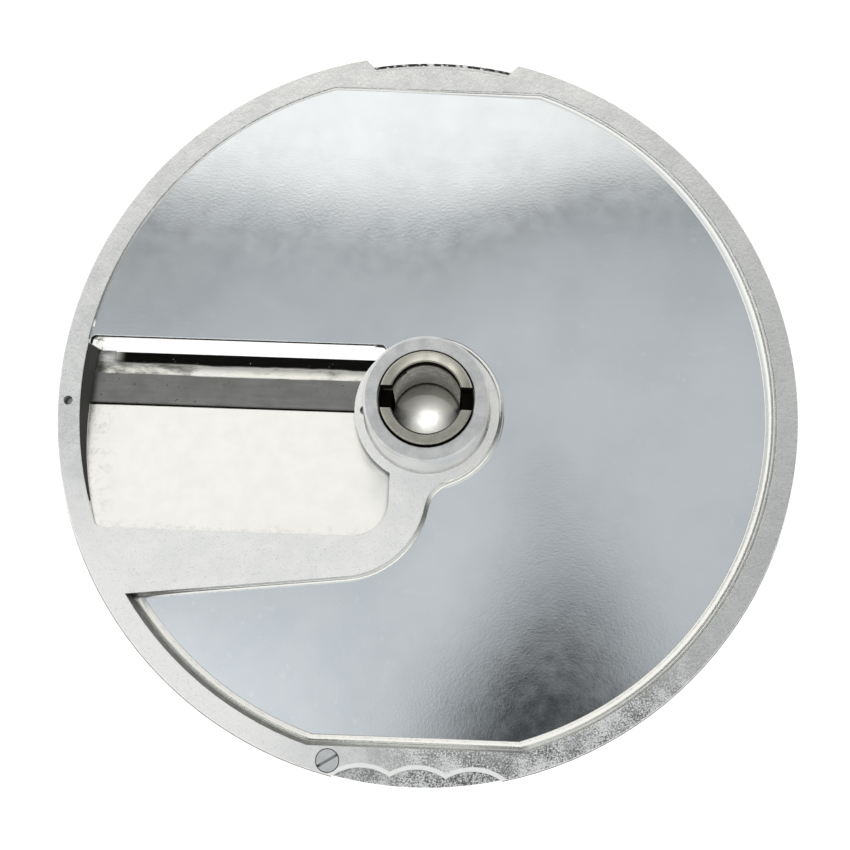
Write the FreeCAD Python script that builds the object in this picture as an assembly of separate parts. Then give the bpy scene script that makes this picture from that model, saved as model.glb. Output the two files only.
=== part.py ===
import FreeCAD, Part
import math
import os

# Slicing disc of a vegetable cutter, in millimetres.
# The disc lies on its food side, the plane z = 0, and its drive side with the boss looks up.
# The origin is on the axis of rotation. X runs along the slot, which lies on the -X side.
# Seen from above, the blade leads towards +Y.

V = FreeCAD.Vector
UP = V(0, 0, 1)
ORIGIN = V(0, 0, 0)
OVERRUN = 5.0               # how far every cutting shape runs past the surface that it opens
RAMP_LAP = 4.0              # how far the ramp's surface runs past both of its ends, degrees
RAMP_STEP = 6.0             # spacing of the sections that shape the ramp, degrees

# Rim and plate
disc_radius = 102.5
rim_edge_chamfer = 0.5
rim_width = 6.2
flat_inset = 4.5            # the two straight rim edges lie this far inside the round ones
plate_thickness = 4.8
landing_depth = 0.7         # rim face down to the plate, beside the slot
slice_thickness = 7.0       # plate down to the cutting edge, and the rise of the ramp
landing_angle = 45.0        # level stretch of the plate behind its edge, degrees
ramp_ease = 30.0            # stretch over which the ramp takes up its slope, degrees
wall_draft = 4.0            # lean of the cast walls around the plate, degrees

# Slot and the pocket that lets the slices out
slot_edge_y = 18.3          # edge of the plate at the slot
slot_corner_round = 1.5
slot_mouth_inset = 0.3      # rim wall beside the slot, inside the recess edge at the rim face
slot_wall_lean = 1.4        # and further in at the food side
pocket_length = 35.2        # along Y, from the lip behind the blade to the rim face level
pocket_end_x = -9.6
pocket_corner_round = 10.0
pocket_rim_round = 2.5      # where its end meets the rim wall
lip_thickness = 1.2         # casting above the blade at the front of the pocket

# Web between the pocket and the plate
web_edge_angle = 6.5        # direction of its straight edge, degrees
web_edge_end = V(-19.3, -46.1, 0)
web_bend = V(-5.2, -38.2, 0)
web_neck = V(0.4, -26.0, 0)
web_root_bend = V(2.0, -22.2, 0)
web_root_angle = -71.0      # where the web runs into the hub, degrees

# Hub
flange_radius = 20.0
boss_radius = 16.8
boss_height = 22.4          # above the rim face
boss_top_chamfer = 0.5
boss_root_chamfer = 0.8
mouth_gap = 0.6             # clear ring around the bush at the top of the boss
mouth_depth = 2.5

# Drive bush and the cap that closes it
shaft_radius = 9.5
bush_wall = 2.9
bush_proud = 2.0            # above the boss
bush_chamfer = 0.4
press_gap = 0.02
drive_slot_width = 6.0
drive_slot_depth = 9.0
lock_height = 3.2           # turned part of the two bayonet slots
lock_angle = 55.0
cap_flange = 1.0
cap_plug = 0.5
cap_dome = 1.0
cap_seat_wall = 2.2         # wall of the bush around the cap
cap_gap = 0.1               # from the cap's dome to the step of the bush's bore

# Blade
blade_thickness = 2.8
edge_gap = 2.5              # from the plate's edge to the cutting edge, in plan
edge_land = 0.1
blade_width = 22.8
bevel_width = 3.1
bevel_rise = 1.6
hollow_width = 3.5
hollow_sag = 0.15
bevel_start_inset = 5.6     # the bevel starts this far from the rim wall
blade_inner_x = -13.8
blade_rim_inset = 0.4
seat_gap = 0.1
lip_front_y = 0.0

# Screws that hold the blade, countersunk from the food side
screw_y = -0.4
rim_screw_inset = 3.2       # from the disc's edge
hub_screw_x = -17.2
tap_radius = 1.25
thread_gap = 0.03
screw_length = 9.0
screw_head_radius = 2.7
screw_head_height = 1.6
screw_clearance = 0.25
screw_slot = 0.8

# Slotted plug in the rim face
plug_angle = -103.7
plug_inset = 4.0            # from the disc's edge
plug_radius = 3.0
plug_length = 6.5
plug_slot_width = 0.7
plug_slot_depth = 1.2
plug_slot_angle = 32.0

# Grips in the rim: one long notch and three finger scallops, both open to the drive side
grip_depth = 8.1
notch_depth = 4.2
notch_left_x = -17.4
notch_right_x = 19.2
notch_end_angle = 45.0
scallop_count = 3
scallop_pitch = 15.1
scallop_mid_x = 1.1
scallop_radius = 13.7
scallop_depth = 5.3

# Levels and places that follow
recess_radius = disc_radius - rim_width
recess_flat = recess_radius - flat_inset
slot_mouth_radius = recess_radius - slot_mouth_inset
slot_wall_radius = slot_mouth_radius - slot_wall_lean
notch_radius = disc_radius - notch_depth
rim_screw_x = -(disc_radius - rim_screw_inset)
bevel_start_x = -(slot_wall_radius - bevel_start_inset)
rim_height = landing_depth + plate_thickness + slice_thickness
boss_top = rim_height + boss_height
bush_radius = shaft_radius + bush_wall
bush_top = boss_top + bush_proud
cap_seat_radius = bush_radius - cap_seat_wall
cap_top = cap_flange + cap_plug + cap_dome
grip_level = rim_height - grip_depth
blade_front_y = slot_edge_y - edge_gap
blade_back_y = blade_front_y - blade_width
lip_top = blade_thickness + lip_thickness
slot_corner_angle = math.degrees(math.atan2(slot_edge_y, -recess_radius))


def at_angle(radius, degrees, z=0.0):
    """Point at a radius and an angle counter-clockwise from +X."""
    turn = math.radians(degrees)
    return V(radius * math.cos(turn), radius * math.sin(turn), z)


def disc(radius, z_low, z_high, x=0.0, y=0.0):
    return Part.makeCylinder(radius, z_high - z_low, V(x, y, z_low), UP)


def block(x_low, x_high, y_low, y_high, z_low, z_high):
    size = (x_high - x_low, y_high - y_low, z_high - z_low)
    return Part.makeBox(*size, V(x_low, y_low, z_low))


def prism(edges, z_low, z_high):
    """Solid above a closed outline that is drawn in the plane z = 0."""
    face = Part.Face(Part.Wire(edges))
    face.translate(V(0, 0, z_low))
    return face.extrude(V(0, 0, z_high - z_low))


def lines(points):
    """Closed chain of straight edges."""
    ends = points[1:] + points[:1]
    return [Part.makeLine(a, b) for a, b in zip(points, ends)]


def upright_edges(solid, test):
    """Vertical edges of a prism whose place passes the test."""
    found = []
    for edge in solid.Edges:
        low = edge.BoundBox
        if low.XLength < 1e-3 and low.YLength < 1e-3 and test(low.XMin, low.YMin):
            found.append(edge)
    return found


def web_end():
    """Where the web's straight edge runs into the rim."""
    turn = math.radians(web_edge_angle)
    along = V(-math.cos(turn), -math.sin(turn), 0)
    middle = web_edge_end.dot(along)
    reach = math.sqrt(middle ** 2 - web_edge_end.Length ** 2 + recess_radius ** 2)
    return web_edge_end + along * (reach - middle), along


def raised_zone():
    """Plan of all that the ramps leave standing: blade seat, pocket and web."""
    corner, along = web_end()
    far = corner + along * disc_radius
    root = at_angle(flange_radius, web_root_angle)
    top_y = slot_edge_y - edge_gap / 2
    edges = [Part.makeLine(far, web_edge_end)]
    edges.append(Part.Arc(web_edge_end, web_bend, web_neck).toShape())
    edges.append(Part.Arc(web_neck, web_root_bend, root).toShape())
    edges += [Part.makeLine(root, ORIGIN), Part.makeLine(ORIGIN, V(0, top_y, 0))]
    edges += [Part.makeLine(V(0, top_y, 0), V(far.x, top_y, 0))]
    edges.append(Part.makeLine(V(far.x, top_y, 0), far))
    return prism(edges, -boss_top, 2 * boss_top)


def drafted_disc(radius, face_level, lean):
    """Round space whose wall has this radius at the face and leans with the depth below it."""
    low, high = -boss_top, 2 * boss_top
    return Part.makeCone(radius + (low - face_level) * lean, radius + (high - face_level) * lean,
                         high - low, V(0, 0, low), UP)


def drafted_strip(half_width, face_level, lean):
    """Space between two straight walls along X, with the same lean."""
    corners = []
    for z in (-boss_top, 2 * boss_top):
        reach = half_width + (z - face_level) * lean
        corners += [V(-2 * disc_radius, -reach, z), V(-2 * disc_radius, reach, z)]
    outline = lines([corners[0], corners[1], corners[3], corners[2]])
    return Part.Face(Part.Wire(outline)).extrude(V(4 * disc_radius, 0, 0))


def ramp_plan(drive_side):
    """Upright space over the whole plate, inside the rim's walls and around the hub."""
    face_level = rim_height if drive_side else 0.0
    lean = math.tan(math.radians(wall_draft)) * (1 if drive_side else -1)
    ring = drafted_disc(recess_radius, face_level, lean)
    ring = ring.cut(drafted_disc(flange_radius, face_level, -lean))
    strip = drafted_strip(recess_flat, face_level, lean)
    return ring.common(strip).cut(raised_zone())


def ramp_turn():
    """Angle over which the plate falls, from the landing to the web."""
    corner, _ = web_end()
    return slot_corner_angle - landing_angle - math.degrees(math.atan2(corner.y, corner.x))


def ramp_fall(turn):
    """How far the plate has fallen at this many degrees behind its edge."""
    past = turn - landing_angle
    slope = slice_thickness / (ramp_turn() - ramp_ease / 2)
    if past <= 0:
        return 0.0
    if past < ramp_ease:
        return slope * past ** 2 / (2 * ramp_ease)
    return slope * (past - ramp_ease / 2)


def ramp_section(turn, landing_level, top):
    """Upright section of the space over (or under) the ramp, along one radius."""
    level = landing_level - ramp_fall(turn)
    inner = at_angle(shaft_radius, slot_corner_angle - turn)
    outer = at_angle(disc_radius + OVERRUN, slot_corner_angle - turn)
    corners = [V(inner.x, inner.y, level), V(outer.x, outer.y, level)]
    corners += [V(outer.x, outer.y, level + top), V(inner.x, inner.y, level + top)]
    return Part.Wire(lines(corners))


def ramp_cut(landing_level, drive_side):
    """Space over (or under) the plate: level behind the slot, then falling round to the web."""
    whole = landing_angle + ramp_turn() + 2 * RAMP_LAP
    count = math.ceil(whole / RAMP_STEP)
    turns = [whole * index / count - RAMP_LAP for index in range(count + 1)]
    top = boss_top if drive_side else -boss_top
    space = Part.makeLoft([ramp_section(turn, landing_level, top) for turn in turns], True, True)
    space = space.common(ramp_plan(drive_side))
    limit = disc(2 * disc_radius, -OVERRUN, rim_height + OVERRUN)
    return space.common(limit).removeSplitter()


def slot_cut():
    """Opening from the plate's edge to the lip behind the blade."""
    reach = block(-disc_radius, 0, lip_front_y, slot_edge_y, -OVERRUN, rim_height + OVERRUN)
    reach = reach.cut(disc(flange_radius, -OVERRUN, rim_height + OVERRUN))
    opening = reach.common(rim_wall_cone())
    corners = [e for e in opening.Edges if is_plate_corner(e)]
    return opening.makeFillet(slot_corner_round, corners)


def is_plate_corner(edge):
    """True for the two steep edges where the plate's edge meets the rim and the hub."""
    box = edge.BoundBox
    on_edge = box.YLength < 1e-3 and abs(box.YMin - slot_edge_y) < 1e-3
    return on_edge and box.ZLength > rim_height


def rim_wall_cone():
    """Leaning rim wall beside the slot and the pocket."""
    lean = (slot_mouth_radius - slot_wall_radius) / rim_height
    low = slot_wall_radius - lean * OVERRUN
    high = slot_mouth_radius + lean * OVERRUN
    return Part.makeCone(low, high, rim_height + 2 * OVERRUN, V(0, 0, -OVERRUN), UP)


def pocket_cut():
    """Sloped pocket behind the blade, deepest at the lip."""
    top = rim_height + OVERRUN
    back = lip_front_y - pocket_length
    area = block(-disc_radius, pocket_end_x, back, lip_front_y, 0, top)
    corner = upright_edges(area, lambda x, y: x > -disc_radius / 2 and y < lip_front_y - 1)
    area = area.makeFillet(pocket_corner_round, corner)
    area = area.cut(disc(flange_radius, 0, top)).common(rim_wall_cone())
    rim_corner = [e for e in area.Edges if is_pocket_rim_corner(e, back)]
    area = area.makeFillet(pocket_rim_round, rim_corner)
    slope = lines([V(0, back, rim_height), V(0, lip_front_y, lip_top),
                   V(0, lip_front_y + OVERRUN, lip_top), V(0, lip_front_y + OVERRUN, -OVERRUN),
                   V(0, back, -OVERRUN)])
    floor = Part.Face(Part.Wire(slope))
    floor.translate(V(-disc_radius, 0, 0))
    return area.cut(floor.extrude(V(2 * disc_radius, 0, 0)))


def is_pocket_rim_corner(edge, back):
    """True for the steep edge where the pocket's end meets the rim wall."""
    box = edge.BoundBox
    on_end = box.YLength < 1e-3 and abs(box.YMin - back) < 1e-3
    return on_end and box.ZLength > rim_height and box.XMax < -disc_radius / 2


def blade_seat_cut():
    """Flat seat milled from the food side, open through the rim."""
    back = blade_back_y - seat_gap
    return block(-disc_radius - OVERRUN, blade_inner_x + seat_gap,
                 back, blade_front_y + seat_gap, -OVERRUN, blade_thickness)


def notch_cut():
    """Long grip notch at the +Y side of the rim."""
    outer = disc_radius + OVERRUN
    spread = OVERRUN + disc_radius - notch_radius
    flare = spread / math.tan(math.radians(notch_end_angle))
    low_y = notch_radius - OVERRUN
    left_y = math.sqrt(notch_radius ** 2 - notch_left_x ** 2)
    right_y = math.sqrt(notch_radius ** 2 - notch_right_x ** 2)
    points = [V(notch_left_x, low_y, 0), V(notch_right_x, low_y, 0),
              V(notch_right_x, right_y, 0), V(notch_right_x + flare, right_y + spread, 0),
              V(notch_left_x - flare, left_y + spread, 0), V(notch_left_x, left_y, 0)]
    area = prism(lines(points), grip_level, rim_height + OVERRUN)
    return area.common(disc(outer, 0, boss_top)).cut(disc(notch_radius, 0, boss_top))


def scallop_cut():
    """Three finger scallops at the -Y side of the rim."""
    centre_y = scallop_depth - disc_radius - scallop_radius
    fingers = []
    for index in range(scallop_count):
        x = scallop_mid_x + (index - (scallop_count - 1) / 2) * scallop_pitch
        fingers.append(disc(scallop_radius, grip_level, rim_height + OVERRUN, x, centre_y))
    return fingers[0].multiFuse(fingers[1:])


def blank():
    """Turned blank: the disc with its boss, before the ramps leave the hub's flange."""
    body = disc(disc_radius, 0, rim_height)
    outer = [e for e in body.Edges if is_ring(e, disc_radius, e.BoundBox.ZMin)]
    body = body.makeChamfer(rim_edge_chamfer, outer)
    body = body.fuse(disc(boss_radius, 0, boss_top)).removeSplitter()
    body = body.makeChamfer(boss_top_chamfer, [e for e in body.Edges if is_ring(e, boss_radius, boss_top)])
    return body.makeChamfer(boss_root_chamfer, [e for e in body.Edges if is_ring(e, boss_radius, rim_height)])


def is_ring(edge, radius, z):
    """True for a full circle of this radius at this level."""
    box = edge.BoundBox
    return box.ZLength < 1e-3 and abs(box.ZMin - z) < 1e-3 and abs(box.XMax - radius) < 0.05


def cast_disc():
    """The whole casting: rim, ramped plate, web, slot, pocket and hub."""
    body = blank()
    floor = rim_height - landing_depth
    body = body.cut(ramp_cut(floor, True))
    body = body.cut(ramp_cut(floor - plate_thickness, False))
    body = body.cut(slot_cut())
    body = body.cut(pocket_cut())
    body = body.cut(blade_seat_cut())
    body = body.cut(notch_cut()).cut(scallop_cut())
    seat = bush_radius + press_gap
    body = body.cut(disc(seat, -OVERRUN, boss_top + OVERRUN))
    body = body.cut(disc(bush_radius + mouth_gap, boss_top - mouth_depth, boss_top + OVERRUN))
    for x in (rim_screw_x, hub_screw_x):
        body = body.cut(disc(tap_radius, 0, rim_height + boss_root_chamfer, x, screw_y))
    place = at_angle(disc_radius - plug_inset, plug_angle)
    hole = disc(plug_radius + thread_gap, rim_height - plug_length, rim_height + OVERRUN, place.x, place.y)
    return body.cut(hole).removeSplitter()


def drive_bush():
    """Steel tube with two bayonet slots that take the shaft's cross pin."""
    length = bush_top - cap_flange
    tube = disc(bush_radius, cap_flange, bush_top)
    tube = tube.cut(disc(shaft_radius, 0, bush_top + OVERRUN))
    tube = tube.cut(disc(cap_seat_radius, 0, cap_top + cap_gap))
    mouth = [e for e in tube.Edges if abs(e.BoundBox.ZMin - bush_top) < 1e-3]
    tube = tube.makeChamfer(bush_chamfer, mouth)
    slot_floor = bush_top - drive_slot_depth
    half = drive_slot_width / 2
    across = bush_radius + OVERRUN
    tube = tube.cut(block(-across, across, -half, half, slot_floor, bush_top + length))
    ring = disc(across, slot_floor, slot_floor + lock_height)
    ring = ring.cut(disc(shaft_radius / 2, slot_floor - 1, bush_top))
    for start in (0.0, 180.0):
        sector = Part.makeCylinder(across, lock_height, V(0, 0, slot_floor), UP, lock_angle)
        sector.rotate(ORIGIN, UP, start - lock_angle)
        tube = tube.cut(sector.common(ring))
    return tube


def end_cap():
    """Flanged plug with a domed top that closes the bush at the food side."""
    radius = cap_seat_radius - press_gap
    ball = (radius ** 2 + cap_dome ** 2) / (2 * cap_dome)
    dome = Part.makeSphere(ball, V(0, 0, cap_top - ball), V(1, 0, 0))
    dome.rotate(ORIGIN, V(1, 0, 0), 90)
    plug = disc(radius, 0, cap_top)
    return disc(bush_radius, 0, cap_flange).fuse(plug.common(dome)).removeSplitter()


def countersink(x, gap):
    """Head and clearance hole of one blade screw."""
    top = blade_thickness + OVERRUN
    shank = tap_radius + thread_gap + screw_clearance
    head = Part.makeCone(screw_head_radius + gap, shank, screw_head_height, V(x, screw_y, 0), UP)
    return head.fuse(disc(shank, 0, top, x, screw_y))


def blade_section(bevelled):
    """Section across the blade at x = 0, from its back to its cutting edge."""
    hollow_y = blade_front_y - bevel_width
    flat_y = hollow_y - hollow_width
    sag = V(0, (hollow_y + flat_y) / 2, (bevel_rise + blade_thickness) / 2 - hollow_sag)
    low = edge_land if bevelled else bevel_rise
    base = [V(0, blade_back_y, blade_thickness), V(0, blade_back_y, 0), V(0, blade_front_y, 0),
            V(0, blade_front_y, low), V(0, hollow_y, bevel_rise)]
    edges = [Part.makeLine(a, b) for a, b in zip(base, base[1:])]
    edges.append(Part.Arc(base[-1], sag, V(0, flat_y, blade_thickness)).toShape())
    edges.append(Part.makeLine(V(0, flat_y, blade_thickness), base[0]))
    return Part.Face(Part.Wire(edges))


def blade_stretch(x_low, x_high, bevelled):
    section = blade_section(bevelled)
    section.translate(V(x_low, 0, 0))
    return section.extrude(V(x_high - x_low, 0, 0))


def slicing_blade():
    """Straight blade with a hollow-ground bevel on its drive side."""
    outer_end = blade_stretch(-disc_radius, bevel_start_x, False)
    ground = blade_stretch(bevel_start_x, blade_inner_x, True)
    blade = outer_end.fuse(ground)
    blade = blade.common(disc(disc_radius - blade_rim_inset, 0, blade_thickness))
    for x in (rim_screw_x, hub_screw_x):
        blade = blade.cut(countersink(x, screw_clearance / 2))
    return blade.removeSplitter()


def blade_screw(x):
    """Slotted countersunk screw, its thread plain."""
    thread = tap_radius - thread_gap
    screw = Part.makeCone(screw_head_radius, thread, screw_head_height, V(x, screw_y, 0), UP)
    screw = screw.fuse(disc(thread, screw_head_height, screw_length, x, screw_y))
    half = screw_slot / 2
    reach = screw_head_radius + 1
    return screw.cut(block(x - reach, x + reach, screw_y - half, screw_y + half, -1, screw_slot))


def rim_plug():
    """Slotted plug that fills a tapped hole in the rim face."""
    place = at_angle(disc_radius - plug_inset, plug_angle)
    plug = disc(plug_radius, rim_height - plug_length, rim_height, place.x, place.y)
    half = plug_slot_width / 2
    reach = plug_radius + 1
    slot = block(-reach, reach, -half, half, rim_height - plug_slot_depth, rim_height + 1)
    slot.rotate(ORIGIN, UP, plug_slot_angle)
    slot.translate(place)
    return plug.cut(slot)


def save(name, shape):
    shape.exportStep(os.path.join("parts", name + ".step"))


def main():
    os.makedirs("parts", exist_ok=True)
    save("cast_disc", cast_disc())
    save("drive_bush", drive_bush())
    save("end_cap", end_cap())
    save("slicing_blade", slicing_blade())
    save("blade_screws", Part.makeCompound([blade_screw(rim_screw_x), blade_screw(hub_screw_x)]))
    save("rim_plug", rim_plug())


main()
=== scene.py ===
import math

import bmesh
import bpy
from mathutils import Matrix, Vector


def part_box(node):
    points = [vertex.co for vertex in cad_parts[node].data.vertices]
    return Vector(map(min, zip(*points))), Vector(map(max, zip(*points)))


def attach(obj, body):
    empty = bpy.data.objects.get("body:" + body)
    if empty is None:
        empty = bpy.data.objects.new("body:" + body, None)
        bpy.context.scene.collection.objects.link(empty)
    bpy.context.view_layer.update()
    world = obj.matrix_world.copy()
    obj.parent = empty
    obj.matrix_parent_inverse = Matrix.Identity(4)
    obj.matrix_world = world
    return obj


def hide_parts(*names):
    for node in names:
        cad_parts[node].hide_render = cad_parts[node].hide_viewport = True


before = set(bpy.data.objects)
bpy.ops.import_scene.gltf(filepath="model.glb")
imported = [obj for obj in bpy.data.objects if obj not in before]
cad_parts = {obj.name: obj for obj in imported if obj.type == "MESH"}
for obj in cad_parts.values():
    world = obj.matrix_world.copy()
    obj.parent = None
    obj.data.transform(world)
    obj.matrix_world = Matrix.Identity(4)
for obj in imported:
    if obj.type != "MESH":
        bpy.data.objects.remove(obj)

MM = 0.001
UP = Vector((0, 0, 1))
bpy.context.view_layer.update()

# Rim, in metres like all sizes
rim_face = 12.5 * MM
recess_radius = 96.3 * MM
recess_flat = 91.8 * MM
outer_wall = 98.0 * MM              # a wall from here out is the rim's outer one
wall_lean = math.tan(math.radians(4.0))
plug_place = Vector((math.cos(math.radians(-103.7)), math.sin(math.radians(-103.7)), 0)) * 98.5 * MM
scallop_mid_x = 1.1 * MM
scallop_pitch = 15.1 * MM
scallop_radius = 13.7 * MM
scallop_centre_y = -110.9 * MM

# Plate, which is level behind the slot and then falls as a ramp
slot_edge_y = 18.3 * MM
plate_landing = 11.8 * MM
landing_angle = math.radians(45.0)
ramp_ease = math.radians(30.0)
ramp_height = 7.0 * MM
polish_delay = math.radians(30.0)   # the polish takes up its tilt this far after the ramp begins
polish_ease = math.radians(40.0)
polish_radius = 38.0 * MM           # and tilts less than the ramp from here in to the hub
plate_facing = 0.985                # least share of up in the direction of a facet of the plate
plate_facet = 5.0 * MM              # longest edge that is left in the plate

# Hub, bush and cap
flange_radius = 20.0 * MM
boss_radius = 16.8 * MM
bush_radius = 12.4 * MM
bush_top = 36.9 * MM
cap_flange = 1.0 * MM
dome_radius = 10.18 * MM
dome_rise = 1.0 * MM
foot_mark = Vector((-3.6, -25.0, 0)) * MM

# Edge of the web, from its straight part round to the hub
web_edge_angle = math.radians(6.5)
web_edge_end = Vector((-19.3, -46.1, 0)) * MM
web_bend = Vector((-5.2, -38.2, 0)) * MM
web_neck = Vector((0.4, -26.0, 0)) * MM
web_root_bend = Vector((2.0, -22.2, 0)) * MM
web_root_angle = math.radians(-71.0)

# Blade: where its flat part ends, and where its hollow ends and the bevel begins
flat_y = 9.2 * MM
hollow_y = 12.7 * MM

# Fillets, and the distance at which two points count as one
rim_fillet = 2.5 * MM
web_fillet = 1.5 * MM
fillet_sunk = 0.4 * MM
weld = 0.001 * MM

# Camera that took the photograph, fitted to the rings of the disc
camera_place = Vector((7.1042, -69.2817, 484.475)) * MM
camera_pitch = 0.1376
camera_lean = 0.0157
camera_roll = 0.0345
camera_lens = 73.27


# Nodes

class Nodes:
    """A node tree that is put together from position, noise and masks."""

    def __init__(self, tree):
        self.tree = tree

    def add(self, kind):
        return self.tree.nodes.new("ShaderNode" + kind)

    def wire(self, value, socket):
        """Sets a socket to a plain value, or links another node's output to it."""
        if isinstance(value, bpy.types.NodeSocket):
            self.tree.links.new(value, socket)
        else:
            socket.default_value = value

    def maths(self, operation, first, second=0.0):
        node = self.add("Math")
        node.operation = operation
        self.wire(first, node.inputs[0])
        self.wire(second, node.inputs[1])
        return node.outputs[0]

    def plus(self, first, second):
        return self.maths("ADD", first, second)

    def times(self, *values):
        product = values[0]
        for value in values[1:]:
            product = self.maths("MULTIPLY", product, value)
        return product

    def less(self, first, second):
        """The first number less the second."""
        return self.maths("SUBTRACT", first, second)

    def size(self, value):
        """The number without its sign."""
        return self.maths("ABSOLUTE", value)

    def most(self, *values):
        """The largest of several numbers."""
        largest = values[0]
        for value in values[1:]:
            largest = self.maths("MAXIMUM", largest, value)
        return largest

    def parts(self, vector):
        node = self.add("SeparateXYZ")
        self.wire(vector, node.inputs[0])
        return node.outputs[0], node.outputs[1], node.outputs[2]

    def scaled(self, vector, scale):
        node = self.add("Mapping")
        self.wire(vector, node.inputs["Vector"])
        node.inputs["Scale"].default_value = scale
        return node.outputs[0]

    def spread(self, value, low, high, to_low=0.0, to_high=1.0):
        """Smooth step of a value between two limits."""
        node = self.add("MapRange")
        node.interpolation_type = "SMOOTHSTEP"
        for number, socket in zip((value, low, high, to_low, to_high), node.inputs):
            self.wire(number, socket)
        return node.outputs[0]

    def between(self, value, low, high, soft):
        """One inside a stretch, with soft ends."""
        return self.times(self.spread(value, low - soft, low + soft),
                          self.spread(value, high + soft, high - soft))

    def opposite(self, mask):
        """One where a mask is zero, and zero where it is one."""
        return self.spread(mask, 1.0, 0.0)

    def mix(self, share, first, second):
        """Colour between two colours."""
        node = self.add("Mix")
        node.data_type = "RGBA"
        self.wire(share, node.inputs[0])
        self.wire(first, node.inputs[6])
        self.wire(second, node.inputs[7])
        return node.outputs[2]

    def blend(self, share, first, second):
        """Number between two numbers."""
        node = self.add("Mix")
        self.wire(share, node.inputs[0])
        self.wire(first, node.inputs[2])
        self.wire(second, node.inputs[3])
        return node.outputs[0]

    def length(self, x, y):
        """Distance in plan, from its two parts."""
        return self.maths("SQRT", self.plus(self.times(x, x), self.times(y, y)))


class Finish(Nodes):
    """A bare metal finish."""

    def __init__(self, name):
        self.material = bpy.data.materials.new(name)
        self.material.use_nodes = True
        super().__init__(self.material.node_tree)
        self.surface = self.tree.nodes["Principled BSDF"]
        self.surface.inputs["Metallic"].default_value = 1.0
        coordinates = self.add("TexCoord")
        self.place = coordinates.outputs["Object"]
        self.facing = coordinates.outputs["Normal"]

    def noise(self, size, vector=None, detail=3.0, rough=0.55):
        """Soft noise whose blotches measure about size metres."""
        node = self.add("TexNoise")
        self.wire(self.place if vector is None else vector, node.inputs["Vector"])
        node.inputs["Scale"].default_value = 1.0 / size
        node.inputs["Detail"].default_value = detail
        node.inputs["Roughness"].default_value = rough
        return node.outputs["Fac"]

    def soft_edges(self, width):
        """Direction of the surface, rounded over its edges."""
        node = self.add("Bevel")
        node.samples = 6
        node.inputs["Radius"].default_value = width
        return node.outputs[0]

    def shade(self, reach):
        """Painted shade that darkens a corner where it is closed in."""
        node = self.add("AmbientOcclusion")
        node.samples = 6
        node.inputs["Distance"].default_value = reach
        return node.outputs["AO"]

    def bump(self, height, depth, strength=1.0, below=None):
        """Bump of a height field that is depth metres deep."""
        node = self.add("Bump")
        self.wire(strength, node.inputs["Strength"])
        node.inputs["Distance"].default_value = depth
        self.wire(height, node.inputs["Height"])
        if below is not None:
            self.wire(below, node.inputs["Normal"])
        return node.outputs[0]

    def finish(self, colour, roughness, normal=None, shade_and_marks=None):
        """Wires up the metal. Where painted shade and dark marks cover it, it loses its shine and is no
        metal.
        """
        self.wire(colour, self.surface.inputs["Base Color"])
        self.wire(roughness, self.surface.inputs["Roughness"])
        if shade_and_marks is not None:
            self.wire(self.less(1.0, shade_and_marks), self.surface.inputs["Metallic"])
            self.surface.inputs["Specular IOR Level"].default_value = 0.0
        if normal is not None:
            self.wire(normal, self.surface.inputs["Normal"])
        return self.material


# Finishes

# Black of the casting's painted shade, its dark lines and its dark joints
SHADE_AND_JOINT_BLACK = (0.022, 0.022, 0.02, 1)
BUSH_BLACK = (0.012, 0.011, 0.009, 1)
BLADE_REFLECTION_AND_PIT_BLACK = (0.008, 0.008, 0.007, 1)
# White of worn metal, also used as painted light on the rim's lower left
WORN_AND_LIT_WHITE = (1.0, 1.0, 0.99, 1)


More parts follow.
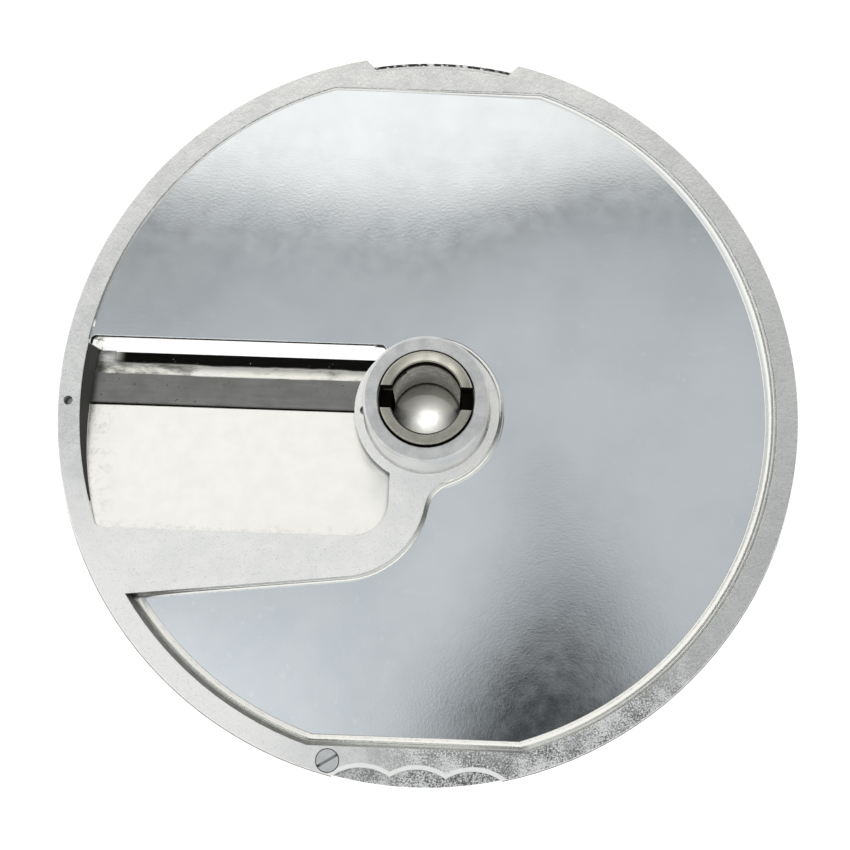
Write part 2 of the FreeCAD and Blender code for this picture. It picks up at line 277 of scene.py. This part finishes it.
class Casting(Finish):
    """Cast aluminium: satin plate, blasted rim and web, bright pocket slope, and steep walls painted dark
    with shade.
    """

    def __init__(self):
        super().__init__("cast_aluminium")
        self.x, self.y, self.z = self.parts(self.place)
        _, _, self.up = self.parts(self.facing)
        self.radius = self.length(self.x, self.y)
        self.grain = self.noise(0.7 * MM, detail=2.0)
        self.fine = self.noise(0.3 * MM, detail=1.0)
        self.blotch = self.noise(5 * MM, detail=4.0)
        uneven = self.times(self.plus(self.blotch, -0.5), 0.35)
        speck = self.plus(self.noise(0.5 * MM, detail=5.0, rough=0.75), uneven)
        self.speck = self.spread(speck, 0.46, 0.54)
        self.between_specks = self.opposite(self.speck)
        self.find_zones()
        self.find_walls()
        self.find_wear()
        # Painted shade, dark lines and dark joints, laid over the casting's tone
        shade_and_marks = self.shade_and_marks()
        tone = self.mix(shade_and_marks, self.tone(), SHADE_AND_JOINT_BLACK)
        self.finish(tone, self.blend(shade_and_marks, self.roughness(), 0.4), self.relief(), shade_and_marks)

    def find_zones(self):
        """Masks of the parts of the disc that look up."""
        y, z, up, radius = self.y, self.z, self.up, self.radius
        self.level = self.spread(up, 0.90, 0.97)
        face = self.between(z, rim_face - 0.2 * MM, rim_face + 0.3 * MM, 0.05 * MM)
        self.face = self.times(face, self.level)
        self.ledge = self.times(self.spread(radius, recess_radius, recess_radius + 0.4 * MM), self.level)
        self.rim = self.most(self.face, self.ledge)
        inner = self.times(self.spread(radius, recess_radius - 0.2 * MM, recess_radius - 0.8 * MM),
                           self.spread(self.size(y), recess_flat - 0.5 * MM, recess_flat - 1.0 * MM))
        self.web = self.times(self.face, inner)
        self.hub = self.spread(z, rim_face + 0.3 * MM, rim_face + 0.5 * MM)
        self.off_hub = self.opposite(self.hub)
        self.plate = self.times(self.spread(z, rim_face - 0.3 * MM, rim_face - 0.5 * MM),
                                self.spread(up, 0.975, 0.985),
                                self.spread(radius, recess_radius, recess_radius - 0.3 * MM))
        self.pocket = self.times(self.spread(up, 0.985, 0.980), self.spread(up, 0.93, 0.94), self.off_hub)
        self.scallops = self.times(self.scallop_edges(), self.face)

    def find_walls(self):
        """Masks of the walls: all of them, the slot's, and the steep ones of slot and pocket that take
        painted shade.
        """
        x, y = self.x, self.y
        self.wall = self.spread(self.size(self.up), 0.80, 0.35)
        self.inside = self.spread(self.radius, outer_wall, outer_wall - 0.5 * MM)
        self.slot_wall = self.times(self.between(y, 16 * MM, 19 * MM, 0.3 * MM),
                                    self.spread(x, -14 * MM, -16 * MM), self.inside)
        opening = self.times(self.spread(x, -8 * MM, -10 * MM),
                             self.between(y, -28 * MM, 19 * MM, 0.3 * MM),
                             self.between(self.radius, 20.6 * MM, outer_wall, 0.3 * MM))
        # Steep walls of slot and pocket, painted dark with shade
        self.steep = self.times(self.wall, opening, self.opposite(self.slot_wall))

    def find_wear(self):
        """Masks of the rim's worn stretch at the scallops, of its lower-left stretch that is painted light,
        and of its right side that is painted with shade.
        """
        x, y = self.x, self.y
        worn = self.times(self.spread(y, -55 * MM, -85 * MM), self.spread(x, -25 * MM, 15 * MM))
        self.worn = self.times(worn, self.spread(self.noise(9 * MM, detail=3.0), 0.25, 0.6, 0.6, 1.0))
        # Lower-left stretch of the rim, painted light
        self.lit_stretch = self.times(self.spread(x, -10 * MM, -50 * MM), self.spread(y, -10 * MM, -50 * MM))
        # Right side of the rim, painted with shade
        self.shaded_stretch = self.times(self.spread(x, 30 * MM, 95 * MM, 0.0, 0.85), self.opposite(self.worn))

    def scallop_edges(self):
        """Bright worn band around the finger scallops, on the rim's face."""
        band = 0.0
        for index in (-1, 0, 1):
            across = self.plus(self.x, -(scallop_mid_x + index * scallop_pitch))
            reach = self.length(across, self.plus(self.y, -scallop_centre_y))
            band = self.most(band, self.spread(reach, scallop_radius + 1.3 * MM, scallop_radius + 1.1 * MM))
        return band

    def plate_tone(self):
        cloud = self.spread(self.noise(26 * MM, detail=3.0), 0.3, 0.7)
        tone = self.mix(cloud, (0.80, 0.84, 0.87, 1), (0.87, 0.90, 0.925, 1))
        pale_specks = self.spread(self.noise(2.2 * MM, detail=5.0), 0.60, 0.72, 0.0, 0.4)
        return self.mix(pale_specks, tone, (0.93, 0.95, 0.96, 1))

    def rim_tone(self):
        blotch = self.spread(self.blotch, 0.30, 0.70)
        tone = self.mix(blotch, (0.78, 0.785, 0.78, 1), (0.90, 0.90, 0.89, 1))
        # Painted light on the lower-left stretch, together with the real wear at the scallops
        tone = self.mix(self.most(self.lit_stretch, self.worn), tone, WORN_AND_LIT_WHITE)
        # Painted shade on the right side
        tone = self.mix(self.times(self.shaded_stretch, 0.6), tone, (0.60, 0.61, 0.60, 1))
        return self.mix(self.times(self.worn, self.between_specks, 0.85), tone, (0.08, 0.085, 0.085, 1))

    def hub_tone(self):
        blotch = self.spread(self.blotch, 0.35, 0.65)
        tone = self.mix(blotch, (0.66, 0.665, 0.67, 1), (0.80, 0.80, 0.80, 1))
        tone = self.mix(self.spread(self.speck, 0.35, 0.0, 0.0, 0.10), tone, (0.30, 0.30, 0.30, 1))
        # Painted highlight along the boss's top edge
        edge = self.between(self.radius, boss_radius - 0.6 * MM, boss_radius - 0.15 * MM, 0.08 * MM)
        tone = self.mix(self.times(edge, self.level, 0.8), tone, (1.0, 1.0, 1.0, 1))
        # The boss's walls are painted lighter than its top: painted light
        return self.mix(self.wall, tone, (0.93, 0.93, 0.92, 1))

    def pocket_tone(self):
        blotch = self.spread(self.blotch, 0.3, 0.7)
        tone = self.mix(blotch, (0.86, 0.855, 0.835, 1), (0.89, 0.89, 0.87, 1))
        border = self.most(self.spread(self.x, -82 * MM, -92 * MM), self.spread(self.y, -30 * MM, -37 * MM))
        stain = self.spread(self.noise(2.5 * MM, detail=6.0, rough=0.7), 0.45, 0.68)
        return self.mix(self.times(stain, border, 0.35), tone, (0.42, 0.40, 0.35, 1))

    def tone(self):
        """The tones of all zones, laid over each other."""
        tone = self.mix(self.spread(self.up, 0.97, 0.90), self.plate_tone(), (0.88, 0.88, 0.85, 1))
        # Painted shade on the rim's outer wall
        outer = self.times(self.wall, self.spread(self.radius, outer_wall - 0.3 * MM, outer_wall))
        tone = self.mix(outer, tone, (0.52, 0.525, 0.53, 1))
        tone = self.mix(self.rim, tone, self.rim_tone())
        blasted = self.mix(self.spread(self.blotch, 0.35, 0.65), (0.95, 0.955, 0.95, 1), WORN_AND_LIT_WHITE)
        tone = self.mix(self.web, tone, blasted)
        tone = self.mix(self.hub, tone, self.hub_tone())
        tone = self.mix(self.pocket, tone, self.pocket_tone())
        pores = self.times(self.spread(self.fine, 0.62, 0.72), self.rim, 0.35)
        tone = self.mix(pores, tone, (0.25, 0.255, 0.25, 1))
        return self.mix(self.scallops, tone, WORN_AND_LIT_WHITE)

    def shade_and_marks(self):
        """Painted shade in closed-in corners, on the steep walls of slot and pocket, on the walls that lie
        in the dark, on the ledge under the notch, at the scallops' foot and along the rim's outer edge; a
        painted shadow line in the slot; a dark broken line along the top of the inner walls; and the dark
        joints round the plug and the bush.
        """
        x, y, z, radius = self.x, self.y, self.z, self.radius
        plug_gap = self.length(self.plus(x, -plug_place.x), self.plus(y, -plug_place.y))
        outline = self.times(self.spread(plug_gap, 3.35 * MM, 3.15 * MM), self.face)
        broken = self.spread(self.noise(1.6 * MM, detail=3.0), 0.38, 0.52)
        # Dark broken line along the top edge of the inner walls
        lip = self.times(self.wall, self.spread(z, rim_face - 0.38 * MM, rim_face - 0.30 * MM),
                         self.off_hub, self.inside, broken, 0.8)
        shadow_line = self.times(self.slot_wall, self.wall,
                                 self.spread(z, plate_landing - 2.7 * MM, plate_landing - 2.4 * MM),
                                 self.spread(z, plate_landing - 0.3 * MM, plate_landing - 0.5 * MM))
        low = self.spread(z, 7 * MM, 6 * MM)
        # Painted shade on the ledge under the notch
        notch_shade = self.times(self.spread(radius, 101.6 * MM, 101.8 * MM), low,
                                 self.spread(y, 80 * MM, 88 * MM), self.level, broken, 0.95)
        # Painted shade at the foot of the scallop walls
        foot = self.times(self.ledge, low, self.spread(y, -80 * MM, -88 * MM), self.between_specks, 0.5)
        # Painted shade along the rim's outer edge
        rim_edge_shade = self.times(self.spread(radius, 102.1 * MM, 102.2 * MM),
                              self.spread(y, -20 * MM, -50 * MM),
                              self.spread(z, rim_face - 0.5 * MM, rim_face - 0.3 * MM), 0.8)
        bush_line = self.times(self.hub,
                               self.spread(radius, bush_radius + 0.42 * MM, bush_radius + 0.32 * MM))
        # Painted shade in closed-in corners, from occlusion
        corners = self.times(self.spread(self.shade(2.0 * MM), 0.70, 0.35), 0.85)
        # Painted shade on the walls of the dark side
        side_wall_shade = self.times(self.wall, self.off_hub, self.between(radius, 93 * MM, outer_wall, 0.5 * MM),
                               self.spread(x, -5 * MM, -35 * MM), self.spread(y, -45 * MM, -55 * MM), 0.7)
        return self.most(self.times(self.steep, 0.93), corners, side_wall_shade, outline, lip, shadow_line,
                         notch_shade, foot, rim_edge_shade, bush_line)

    def roughness(self):
        rough = self.spread(self.blotch, 0.25, 0.75, 0.085, 0.12)
        rough = self.blend(self.rim, rough, self.spread(self.grain, 0.3, 0.7, 0.24, 0.42))
        rough = self.blend(self.scallops, rough, 0.62)
        rough = self.blend(self.times(self.lit_stretch, self.rim), rough, 0.6)
        rough = self.blend(self.web, rough, 0.66)
        rough = self.blend(self.hub, rough, 0.32)
        return self.blend(self.pocket, rough, 0.25)

    def relief(self):
        """Fine grain all over, and coarse grain on the rim and on the casting mark beside the hub."""
        strength = self.blend(self.plate, 0.6, 0.13)
        grain = self.plus(self.grain, self.times(self.fine, 0.5))
        normal = self.bump(grain, 0.04 * MM, strength, self.soft_edges(0.35 * MM))
        mark = self.length(self.plus(self.x, -foot_mark.x), self.plus(self.y, -foot_mark.y))
        rugged = self.most(self.times(self.rim, self.plus(0.55, self.times(self.worn, 0.45))),
                           self.spread(mark, 5.5 * MM, 3.5 * MM))
        return self.bump(self.noise(1.1 * MM, detail=3.0, rough=0.7), 0.16 * MM, rugged, normal)


def bush_finish():
    """Turned steel, its walls painted darker than its level faces with shade, and black in its slots and
    high on the wall of its bore.
    """
    f = Finish("bush_steel")
    x, y, z = f.parts(f.place)
    _, _, up = f.parts(f.facing)
    radius = f.length(x, y)
    blotch = f.noise(3 * MM)
    wall = f.spread(f.size(up), 0.6, 0.3)
    tone = f.mix(blotch, (0.36, 0.35, 0.30, 1), (0.52, 0.50, 0.44, 1))
    # Walls painted darker than the level faces: painted shade
    shaded_wall_tone = f.mix(blotch, (0.20, 0.185, 0.15, 1), (0.34, 0.32, 0.27, 1))
    tone = f.mix(f.times(wall, 0.9), tone, shaded_wall_tone)
    slots = f.times(f.spread(f.size(y), 3.15 * MM, 3.0 * MM),
                    f.spread(z, bush_top - 0.6 * MM, bush_top - 0.8 * MM),
                    f.spread(radius, 9.2 * MM, 9.4 * MM))
    bore = f.times(wall, f.spread(radius, 9.7 * MM, 9.6 * MM),
                   f.spread(z, bush_top - 8 * MM, bush_top - 4.5 * MM))
    shade_and_marks = f.most(slots, bore)
    tone = f.mix(shade_and_marks, tone, BUSH_BLACK)
    rough = f.spread(blotch, 0.3, 0.7, 0.22, 0.34)
    normal = f.bump(f.noise(0.3 * MM), 0.01 * MM, 0.4, f.soft_edges(0.2 * MM))
    return f.finish(tone, rough, normal, shade_and_marks)


def cap_finish():
    """Polished steel, slightly warm."""
    f = Finish("cap_steel")
    blotch = f.noise(4 * MM)
    tone = f.mix(blotch, (0.94, 0.925, 0.87, 1), (1.0, 0.99, 0.94, 1))
    return f.finish(tone, f.spread(blotch, 0.3, 0.7, 0.26, 0.34))


def blade_finish():
    """Ground steel with painted reflections: a dark flat, a light hollow with a painted highlight along its
    edge, a black bevel; and a dark line along the lip, and dark pits.
    """
    f = Finish("blade_steel")
    x, y, _ = f.parts(f.place)
    strokes = f.noise(0.9 * MM, f.scaled(f.place, (0.08, 1, 1)))
    streaks = f.noise(5 * MM, f.scaled(f.place, (0.35, 1, 1)), detail=5.0, rough=0.65)
    blotch = f.noise(7 * MM, detail=4.0)
    # Flat painted dark and hollow painted light, below: painted reflections of the one steel
    dark, light = (0.27, 0.265, 0.25, 1), (0.34, 0.335, 0.32, 1)
    grey = f.spread(f.plus(f.times(strokes, 0.2), f.times(blotch, 0.8)), 0.3, 0.7)
    ground = f.spread(y, flat_y - 0.1 * MM, flat_y + 0.1 * MM)
    bright = f.mix(f.spread(streaks, 0.32, 0.50), light, (1.0, 0.99, 0.96, 1))
    tone = f.mix(ground, f.mix(grey, dark, light), bright)
    # Painted highlight along the edge between flat and hollow
    line = f.between(y, flat_y - 0.2 * MM, flat_y + 0.15 * MM, 0.05 * MM)
    tone = f.mix(f.times(line, f.spread(streaks, 0.45, 0.6), 0.8), tone, (0.95, 0.95, 0.93, 1))
    wavy = f.plus(y, f.times(f.plus(streaks, -0.5), 1.6 * MM))
    sparks = f.spread(f.noise(0.9 * MM, detail=1.0), 0.75, 0.79)
    # Painted dark reflection on the bevel, broken by sparks
    bevel = f.times(f.spread(wavy, hollow_y - 0.9 * MM, hollow_y), f.spread(x, -91 * MM, -86 * MM),
                    f.opposite(sparks))
    # Dark line along the lip
    lip_line = f.times(f.spread(y, 1.2 * MM, 0.5 * MM), f.spread(x, -97 * MM, -96 * MM))
    pits = f.spread(f.noise(0.8 * MM, detail=1.0), 0.72, 0.76)
    shade_and_marks = f.most(bevel, lip_line, f.times(pits, 0.75))
    tone = f.mix(shade_and_marks, tone, BLADE_REFLECTION_AND_PIT_BLACK)
    rough = f.blend(ground, f.spread(strokes, 0.3, 0.7, 0.18, 0.23), 0.22)
    rough = f.blend(shade_and_marks, rough, 0.45)
    return f.finish(tone, rough, f.bump(strokes, 0.003 * MM, 0.3), shade_and_marks)


def small_metal_finish(name, dark, light):
    """Plain metal of a screw or a plug, with painted shade in its corners."""
    f = Finish(name)
    blotch = f.noise(1.2 * MM)
    tone = f.mix(blotch, dark, light)
    # Painted shade in the corners, from occlusion
    tone = f.mix(f.spread(f.shade(1.0 * MM), 0.7, 0.2), tone, (0.12, 0.12, 0.115, 1))
    return f.finish(tone, f.spread(blotch, 0.3, 0.7, 0.28, 0.42), f.soft_edges(0.12 * MM))


def dress_frame():
    """Each piece of the frame gets its metal."""
    finishes = {
        "drive_bush": bush_finish(),
        "slicing_blade": blade_finish(),
        "blade_screws": small_metal_finish("screw_steel", (0.42, 0.42, 0.42, 1), (0.6, 0.6, 0.59, 1)),
        "rim_plug": small_metal_finish("plug_metal", (0.62, 0.63, 0.63, 1), (0.78, 0.78, 0.78, 1)),
    }
    for name, material in finishes.items():
        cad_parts[name].data.materials.clear()
        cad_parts[name].data.materials.append(material)


# The casting and the closing cap, with smooth surfaces

def ready(name, mesh, material, replaced=None):
    """Puts a finished piece on the disc."""
    mesh.materials.clear()
    mesh.materials.append(material)
    piece = bpy.data.objects.new(name, mesh)
    bpy.context.scene.collection.objects.link(piece)
    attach(piece, "root")
    if replaced:
        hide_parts(replaced)
    return piece


def disc_casting(material):
    """The casting's own form, merged, with a smooth direction of the ramp on both plate sides."""
    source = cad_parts["cast_disc"].data
    shape = bmesh.new()
    shape.from_mesh(source)
    kept = shape.loops.layers.float_vector.new("kept")
    for face, old in zip(shape.faces, source.polygons):
        face.smooth = True
        for loop, index in zip(face.loops, old.loop_indices):
            loop[kept] = source.corner_normals[index].vector
    bmesh.ops.remove_doubles(shape, verts=shape.verts, dist=weld)
    split_plate(shape)
    mesh = bpy.data.meshes.new("disc_casting")
    shape.to_mesh(mesh)
    shape.free()
    normals = [Vector(item.vector).normalized() for item in mesh.attributes["kept"].data]
    for face in mesh.polygons:
        if not on_plate(face.center, face.normal):
            continue
        side = 1 if face.normal.z > 0 else -1
        for loop in face.loop_indices:
            normals[loop] = plate_normal(mesh.vertices[mesh.loops[loop].vertex_index].co) * side
    mesh.attributes.remove(mesh.attributes["kept"])
    mesh.normals_split_custom_set(normals)
    return ready("disc_casting", mesh, material, "cast_disc")


def split_plate(shape):
    """Splits the plate's long triangles, so that its slope is followed closely."""
    rounds = 5
    for _ in range(rounds):
        long_edges = []
        for edge in shape.edges:
            inner = all(on_plate(face.calc_center_median(), face.normal) for face in edge.link_faces)
            if inner and edge.calc_length() > plate_facet:
                long_edges.append(edge)
        if not long_edges:
            break
        bmesh.ops.subdivide_edges(shape, edges=long_edges, cuts=1)
        bmesh.ops.triangulate(shape, faces=[face for face in shape.faces if len(face.verts) > 3])


def on_plate(centre, facing):
    """True for a facet of the plate's two sides, clear of rim, web, hub and the food-side plane."""
    radius = math.hypot(centre.x, centre.y)
    margin = 0.02 * MM
    between = margin < centre.z < plate_landing + margin and flange_radius < radius < recess_radius
    return between and abs(facing.z) > plate_facing


def end_cap_dome(material):
    """Cap that closes the bush: a flange, a plug and a shallow dome, turned in one piece."""
    low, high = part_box("end_cap")
    ball = (dome_radius ** 2 + dome_rise ** 2) / (2 * dome_rise)
    profile = [(0, low.z), (high.x, low.z), (high.x, low.z + cap_flange), (dome_radius, low.z + cap_flange)]
    rings = 12
    for index in range(rings + 1):
        reach = dome_radius * (1 - index / rings)
        profile.append((reach, high.z - ball + math.sqrt(ball ** 2 - reach ** 2)))
    shape = bmesh.new()
    verts = [shape.verts.new((reach, 0, z)) for reach, z in profile]
    edges = [shape.edges.new(pair) for pair in zip(verts, verts[1:])]
    bmesh.ops.spin(shape, geom=verts + edges, angle=2 * math.pi, steps=64, axis=UP, cent=(0, 0, 0),
                   use_merge=True)
    bmesh.ops.remove_doubles(shape, verts=shape.verts, dist=weld)
    bmesh.ops.recalc_face_normals(shape, faces=shape.faces)
    for face in shape.faces:
        face.smooth = face.calc_center_median().z > low.z + cap_flange + 0.2 * MM
    mesh = bpy.data.meshes.new("end_cap_dome")
    shape.to_mesh(mesh)
    shape.free()
    mesh.set_sharp_from_angle(angle=math.radians(30))
    return ready("end_cap_dome", mesh, material, "end_cap")


# Cast fillets at the foot of the walls around the plate

def ramp_place(point):
    """Turn from the start of the ramp to a place, clockwise, with the ramp's whole turn and its slope."""
    slot = math.pi - math.asin(slot_edge_y / recess_radius)
    web = web_corner()
    whole = slot - landing_angle - math.atan2(web.y, web.x)
    past = (slot - math.atan2(point.y, point.x)) % (2 * math.pi) - landing_angle
    return past, whole, ramp_height / (whole - ramp_ease / 2)


def plate_level(point):
    """Height of the plate at a place: level behind the slot, then falling clockwise to the web."""
    past, whole, slope = ramp_place(point)
    past = min(past, whole)
    if past <= 0:
        return plate_landing
    if past < ramp_ease:
        return plate_landing - slope * past ** 2 / (2 * ramp_ease)
    return plate_landing - slope * (past - ramp_ease / 2)


def plate_normal(point):
    """Direction of the polished ramp, which tilts towards the way it falls."""
    past, _, slope = ramp_place(point)
    share = min(max((past - polish_delay) / polish_ease, 0), 1)
    radius = math.hypot(point.x, point.y)
    tilt = share * slope / (radius * max(radius, polish_radius))
    return Vector((point.y * tilt, -point.x * tilt, 1)).normalized()


def arc_stations(centre, radius, start, end, inward):
    """Points along an arc, each with the direction that leads from the wall onto the plate."""
    step = 2.5 * MM
    count = max(2, math.ceil(abs(end - start) * radius / step))
    stations = []
    for index in range(count + 1):
        turn = start + (end - start) * index / count
        ray = Vector((math.cos(turn), math.sin(turn), 0))
        stations.append((centre + ray * radius, -ray if inward else ray))
    return stations


def arc_through(first, middle, last):
    """Centre, radius and the two end angles of the arc through three points."""
    a, b = middle - first, last - first
    turn = 2 * (a.x * b.y - a.y * b.x)
    shift = Vector((b.y * a.length_squared - a.y * b.length_squared,
                    a.x * b.length_squared - b.x * a.length_squared, 0)) / turn
    centre = first + shift
    angles = [math.atan2(point.y - centre.y, point.x - centre.x) for point in (first, last)]
    return centre, shift.length, angles


def rim_stations():
    """Along the rim's round walls, clockwise from the slot to the web, and straight on between them."""
    origin = Vector((0, 0, 0))
    flat = math.asin(recess_flat / recess_radius)
    slot = math.pi - math.asin(slot_edge_y / recess_radius)
    web = web_corner()
    web_turn = math.atan2(web.y, web.x)
    stations = arc_stations(origin, recess_radius, slot, math.pi - flat, True)
    stations += arc_stations(origin, recess_radius, flat, -flat, True)
    stations += arc_stations(origin, recess_radius, flat - math.pi, web_turn, True)
    return stations


def web_corner():
    """Where the web's straight edge meets the rim's wall."""
    along = Vector((-math.cos(web_edge_angle), -math.sin(web_edge_angle), 0))
    middle = web_edge_end.dot(along)
    reach = math.sqrt(middle ** 2 - web_edge_end.length_squared + recess_radius ** 2)
    return web_edge_end + along * (reach - middle)


def web_stations():
    """Along the web from the rim, and on around the hub to the slot."""
    corner = web_corner()
    plate_side = Vector((math.sin(web_edge_angle), -math.cos(web_edge_angle), 0))
    count = 24
    stations = [(corner.lerp(web_edge_end, index / count), plate_side) for index in range(count)]
    centre, radius, turns = arc_through(web_edge_end, web_bend, web_neck)
    stations += arc_stations(centre, radius, turns[0], turns[1], False)
    root = Vector((math.cos(web_root_angle), math.sin(web_root_angle), 0)) * flange_radius
    centre, radius, turns = arc_through(web_neck, web_root_bend, root)
    stations += arc_stations(centre, radius, turns[0], turns[1], True)[1:-1]
    slot = math.pi - math.asin(slot_edge_y / flange_radius)
    stations += arc_stations(Vector((0, 0, 0)), flange_radius, web_root_angle, slot, False)
    return stations


def fillet_section(point, plate_side, leaning, largest):
    """Corners of the fillet's section at one station, its hidden ones inside the casting."""
    level = plate_level(point)
    height = rim_face - level
    size = min(largest, 0.8 * height)
    foot = Vector((point.x, point.y, level)) + plate_side * height * leaning
    centre = foot + (plate_side + UP) * size
    corners = [foot + UP * size - plate_side * (fillet_sunk + size * leaning)]
    steps = 8
    for index in range(steps + 1):
        turn = math.pi / 2 * index / steps
        across, down = size * math.cos(turn), size * math.sin(turn)
        corners.append(centre - plate_side * (across + (size - down) * leaning) - UP * down)
    corners.append(corners[-1] - UP * fillet_sunk)
    corners.append(foot - (plate_side + UP) * fillet_sunk)
    return corners


def pulled_out(vertex, fresh):
    """The new vertex that an extrusion pulled out of an old one."""
    ends = [edge.other_vert(vertex) for edge in vertex.link_edges]
    return next(end for end in ends if end in fresh)


def fillet_strip(name, stations, leaning, largest, material):
    """Closed strip that carries the fillet's section along the wall."""
    shape = bmesh.new()
    first = [shape.verts.new(corner) for corner in fillet_section(*stations[0], leaning, largest)]
    ring = [shape.edges.new((a, b)) for a, b in zip(first, first[1:] + first[:1])]
    shape.faces.new(first)
    last = first
    for point, plate_side in stations[1:]:
        grown = bmesh.ops.extrude_edge_only(shape, edges=ring)["geom"]
        fresh = {item for item in grown if isinstance(item, bmesh.types.BMVert)}
        last = [pulled_out(vertex, fresh) for vertex in last]
        for vertex, corner in zip(last, fillet_section(point, plate_side, leaning, largest)):
            vertex.co = corner
        ring = [shape.edges.get((a, b)) for a, b in zip(last, last[1:] + last[:1])]
    shape.faces.new(last)
    bmesh.ops.recalc_face_normals(shape, faces=shape.faces)
    for face in shape.faces:
        face.smooth = len(face.verts) == 4
    mesh = bpy.data.meshes.new(name)
    shape.to_mesh(mesh)
    shape.free()
    return ready(name, mesh, material)


# Studio

def floor():
    """Wide white floor just under the disc."""
    mesh = bpy.data.meshes.new("floor")
    shape = bmesh.new()
    bmesh.ops.create_grid(shape, x_segments=1, y_segments=1, size=30.0,
                          matrix=Matrix.Translation(UP * -0.05 * MM))
    shape.to_mesh(mesh)
    shape.free()
    material = bpy.data.materials.new("white_floor")
    material.use_nodes = True
    surface = material.node_tree.nodes["Principled BSDF"]
    surface.inputs["Base Color"].default_value = (0.9, 0.9, 0.9, 1)
    surface.inputs["Roughness"].default_value = 0.9
    surface.inputs["Emission Color"].default_value = (1, 1, 1, 1)
    surface.inputs["Emission Strength"].default_value = 0.6
    mesh.materials.append(material)
    piece = bpy.data.objects.new("floor", mesh)
    bpy.context.scene.collection.objects.link(piece)


def studio():
    """Soft light from all round, placed by the slope u, v of its direction along X and Y."""
    world = bpy.data.worlds.new("studio")
    bpy.context.scene.world = world
    world.use_nodes = True
    n = Nodes(world.node_tree)
    x, y, z = n.parts(n.add("TexCoord").outputs["Generated"])
    rise = n.most(z, 0.02)
    u = n.maths("DIVIDE", x, rise)
    v = n.maths("DIVIDE", y, rise)
    box_edge = n.plus(v, n.times(0.08, n.plus(u, 0.1)))
    box_edge = n.less(box_edge, n.times(0.11, n.most(n.plus(u, 0.03), 0.0)))
    ceiling = n.plus(0.58, n.times(0.30, n.spread(v, 0.14, -0.04), n.spread(u, 0.0, -0.2)))
    ceiling = n.less(ceiling, n.spread(v, 0.13, 0.20, 0.0, 0.07))
    dark_band = n.times(n.between(box_edge, 0.238, 0.33, 0.022), n.spread(u, -0.05, 0.03, 0.19, 0.27))
    far_end = n.times(n.spread(u, -0.12, -0.17), n.between(v, 0.19, 0.27, 0.03), 0.12)
    ceiling = n.less(n.less(ceiling, dark_band), far_end)
    near_sides = n.most(n.spread(x, 0.1, -0.6), n.spread(y, -0.1, -0.6))
    side = n.times(n.plus(0.12, n.times(0.98, near_sides)), n.spread(z, 0.02, 0.4, 0.35, 1.0))
    light = n.blend(n.spread(z, 0.6, 0.9), side, ceiling)
    box = n.times(n.spread(box_edge, 0.264, 0.278), n.spread(v, 2.2, 1.8))
    light = n.blend(box, light, n.spread(u, 0.03, 0.13, 1.06, 0.90))
    lens = n.length(n.plus(u, -0.026), n.plus(v, 0.052))
    light = n.blend(n.spread(lens, 0.100, 0.026), light, 0.015)
    tint = n.mix(n.spread(z, 0.8, 0.6), (0.955, 0.985, 1.0, 1), (1.0, 1.0, 0.985, 1))
    tint = n.mix(box, tint, (1.0, 0.988, 0.962, 1))
    sky = world.node_tree.nodes["Background"]
    n.wire(tint, sky.inputs["Color"])
    n.wire(light, sky.inputs["Strength"])
    bpy.context.scene.view_settings.view_transform = "Standard"


def bore_light():
    """Narrow lamp high over the bore, which lights the cap at its bottom."""
    data = bpy.data.lights.new("bore_light", "SPOT")
    data.energy = 0.45
    data.spot_size = math.radians(2.0)
    data.spot_blend = 0.5
    data.shadow_soft_size = 0.002
    lamp = bpy.data.objects.new("bore_light", data)
    place = Vector((6.0, 60.0, 550.0)) * MM
    lamp.matrix_world = Matrix.Translation(place) @ place.to_track_quat("Z", "Y").to_matrix().to_4x4()
    bpy.context.scene.collection.objects.link(lamp)


def camera():
    """Camera at the photograph's place."""
    data = bpy.data.cameras.new("camera")
    data.lens = camera_lens
    data.sensor_width = 36
    data.clip_start = 0.01
    data.clip_end = 20
    holder = bpy.data.objects.new("camera", data)
    turn = Matrix.Rotation(camera_pitch, 4, "X") @ Matrix.Rotation(camera_lean, 4, "Y")
    holder.matrix_world = Matrix.Translation(camera_place) @ turn @ Matrix.Rotation(camera_roll, 4, "Z")
    bpy.context.scene.collection.objects.link(holder)
    bpy.context.scene.camera = holder


casting = Casting().material
dress_frame()
disc_casting(casting)
end_cap_dome(cap_finish())
fillet_strip("rim_foot_fillet", rim_stations(), wall_lean, rim_fillet, casting)
fillet_strip("web_foot_fillet", web_stations(), 0.0, web_fillet, casting)
floor()
studio()
bore_light()
camera()
